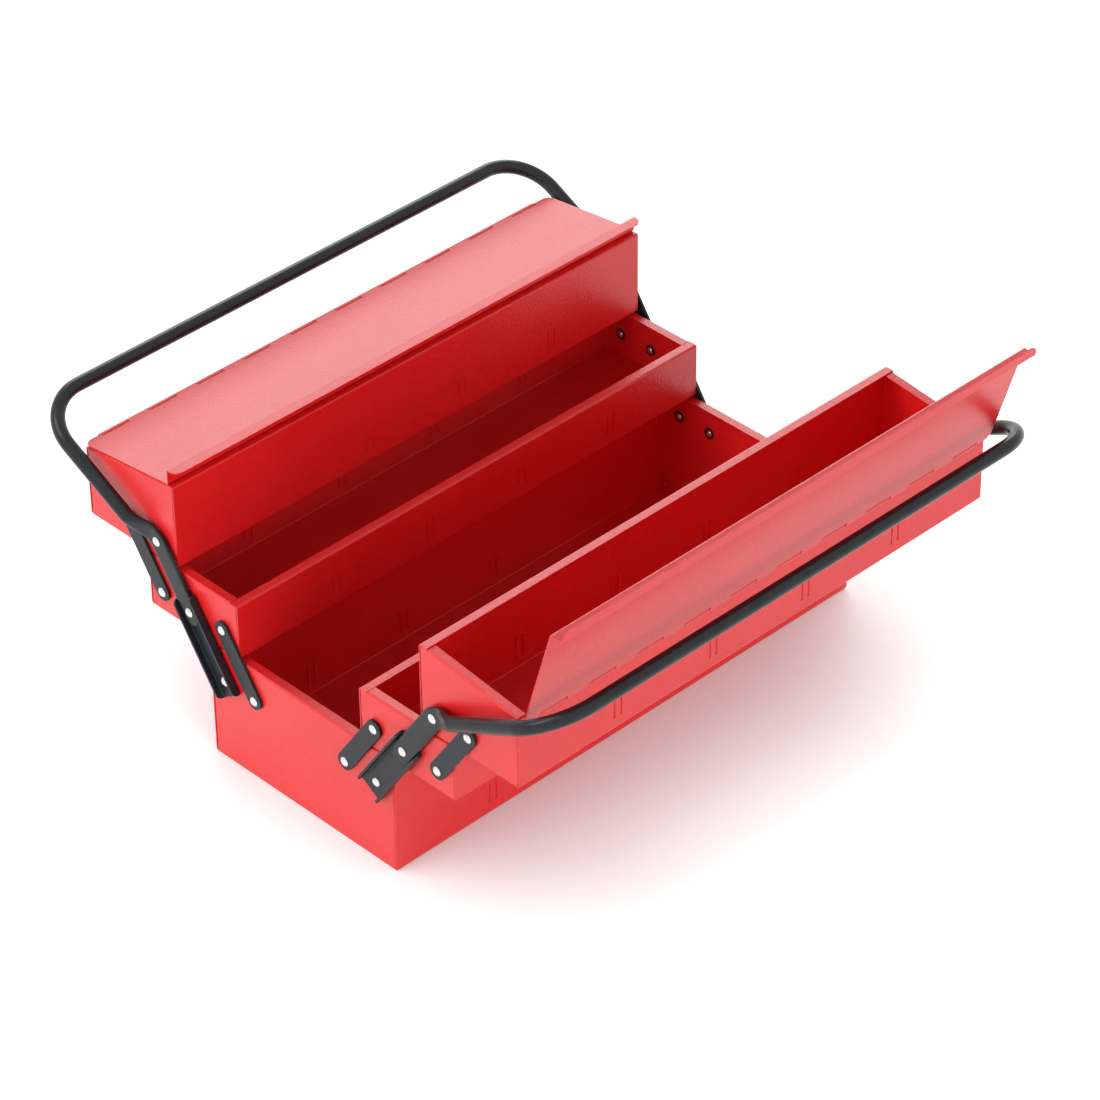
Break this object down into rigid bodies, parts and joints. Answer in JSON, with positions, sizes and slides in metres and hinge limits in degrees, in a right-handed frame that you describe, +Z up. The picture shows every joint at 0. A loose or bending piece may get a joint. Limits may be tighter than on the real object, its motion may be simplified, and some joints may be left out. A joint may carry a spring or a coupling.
{
  "type": "cantilever tool box",
  "caption": "Long red sheet-metal tool box whose middle and top trays swing out on riveted parallel arms, with sloping hinged lids and a bent tube handle on each side",
  "frame": {"origin": "centre of the bottom tray's underside, on the surface it stands on", "axes": "+X along the box from its near end to its far end, +Y across the box towards the left side, whose lid is shut at rest, +Z up"},
  "size_m": [0.5654, 0.6128, 0.3453],
  "materials": {
    "red_sheet": "satin powder coat with a fine texture",
    "black_sheet": "satin black paint",
    "black_tube": "semi-gloss black paint",
    "bright_steel": "bright zinc-plated steel",
    "black_washer": "matte black"
  },
  "bodies": {
    "base": {"bottom_tray": "red_sheet", "bottom_end_near": "red_sheet", "bottom_end_far": "red_sheet", "bottom_rivets": "bright_steel", "bottom_washers": "black_washer"},
    "left_arm": {"left_handle": "black_tube", "left_channel_near": "black_sheet", "left_channel_far": "black_sheet"},
    "left_mid": {"left_mid_tray": "red_sheet", "left_mid_end_near": "red_sheet", "left_mid_end_far": "red_sheet", "left_mid_rivets": "bright_steel", "left_mid_washers": "black_washer"},
    "left_top": {"left_top_tray": "red_sheet", "left_top_end_near": "red_sheet", "left_top_end_far": "red_sheet", "left_top_rivets": "bright_steel", "left_top_washers": "black_washer", "left_hinge_pin": "bright_steel", "left_spacers": "black_washer"},
    "left_lid": {"left_lid": "red_sheet"},
    "left_inner_links": {"left_inner_link_near": "black_sheet", "left_inner_link_far": "black_sheet"},
    "left_outer_links": {"left_outer_link_near": "black_sheet", "left_outer_link_far": "black_sheet"},
    "right_arm": {"right_handle": "black_tube", "right_channel_near": "black_sheet", "right_channel_far": "black_sheet"},
    "right_mid": {"right_mid_tray": "red_sheet", "right_mid_end_near": "red_sheet", "right_mid_end_far": "red_sheet", "right_mid_rivets": "bright_steel", "right_mid_washers": "black_washer"},
    "right_top": {"right_top_tray": "red_sheet", "right_top_end_near": "red_sheet", "right_top_end_far": "red_sheet", "right_top_rivets": "bright_steel", "right_top_washers": "black_washer", "right_hinge_pin": "bright_steel", "right_spacers": "black_washer"},
    "right_lid": {"right_lid": "red_sheet"},
    "right_inner_links": {"right_inner_link_near": "black_sheet", "right_inner_link_far": "black_sheet"},
    "right_outer_links": {"right_outer_link_near": "black_sheet", "right_outer_link_far": "black_sheet"}
  },
  "joints": [
    {"name": "left_fold", "type": "hinge", "parent": "base", "child": "left_arm", "pos_m": [0, 0.09112, 0.0829], "axis": [1, 0, 0], "range_deg": [0, 68]},
    {"name": "left_mid_pivot", "type": "hinge", "parent": "left_arm", "child": "left_mid", "pos_m": [0, 0.12693, 0.136], "axis": [1, 0, 0], "range_deg": [-68, 0]},
    {"name": "left_top_pivot", "type": "hinge", "parent": "left_arm", "child": "left_top", "pos_m": [0, 0.16275, 0.1891], "axis": [1, 0, 0], "range_deg": [-68, 0]},
    {"name": "left_inner_link_pivot", "type": "hinge", "parent": "base", "child": "left_inner_links", "pos_m": [0, 0.05452, 0.0829], "axis": [1, 0, 0], "range_deg": [0, 68]},
    {"name": "left_outer_link_pivot", "type": "hinge", "parent": "left_mid", "child": "left_outer_links", "pos_m": [0, 0.16353, 0.136], "axis": [1, 0, 0], "range_deg": [0, 68]},
    {"name": "left_lid_hinge", "type": "hinge", "parent": "left_top", "child": "left_lid", "pos_m": [0, 0.25575, 0.23458], "axis": [1, 0, 0], "range_deg": [-100, 0]},
    {"name": "right_fold", "type": "hinge", "parent": "base", "child": "right_arm", "pos_m": [0, -0.09112, 0.0829], "axis": [-1, 0, 0], "range_deg": [0, 68]},
    {"name": "right_mid_pivot", "type": "hinge", "parent": "right_arm", "child": "right_mid", "pos_m": [0, -0.12693, 0.136], "axis": [-1, 0, 0], "range_deg": [-68, 0]},
    {"name": "right_top_pivot", "type": "hinge", "parent": "right_arm", "child": "right_top", "pos_m": [0, -0.16275, 0.1891], "axis": [-1, 0, 0], "range_deg": [-68, 0]},
    {"name": "right_inner_link_pivot", "type": "hinge", "parent": "base", "child": "right_inner_links", "pos_m": [0, -0.05452, 0.0829], "axis": [-1, 0, 0], "range_deg": [0, 68]},
    {"name": "right_outer_link_pivot", "type": "hinge", "parent": "right_mid", "child": "right_outer_links", "pos_m": [0, -0.16353, 0.136], "axis": [-1, 0, 0], "range_deg": [0, 68]},
    {"name": "right_lid_hinge", "type": "hinge", "parent": "right_top", "child": "right_lid", "pos_m": [0, -0.25575, 0.23458], "axis": [-1, 0, 0], "range_deg": [0, 100]}
  ],
  "couplings": [
    {"joint": "left_mid_pivot", "follows": "left_fold", "ratio": -1},
    {"joint": "left_top_pivot", "follows": "left_fold", "ratio": -1},
    {"joint": "left_inner_link_pivot", "follows": "left_fold", "ratio": 1},
    {"joint": "left_outer_link_pivot", "follows": "left_fold", "ratio": 1},
    {"joint": "right_mid_pivot", "follows": "right_fold", "ratio": -1},
    {"joint": "right_top_pivot", "follows": "right_fold", "ratio": -1},
    {"joint": "right_inner_link_pivot", "follows": "right_fold", "ratio": 1},
    {"joint": "right_outer_link_pivot", "follows": "right_fold", "ratio": 1},
    {"joint": "right_lid_hinge", "follows": "right_fold", "ratio": 1.4706}
  ]
}
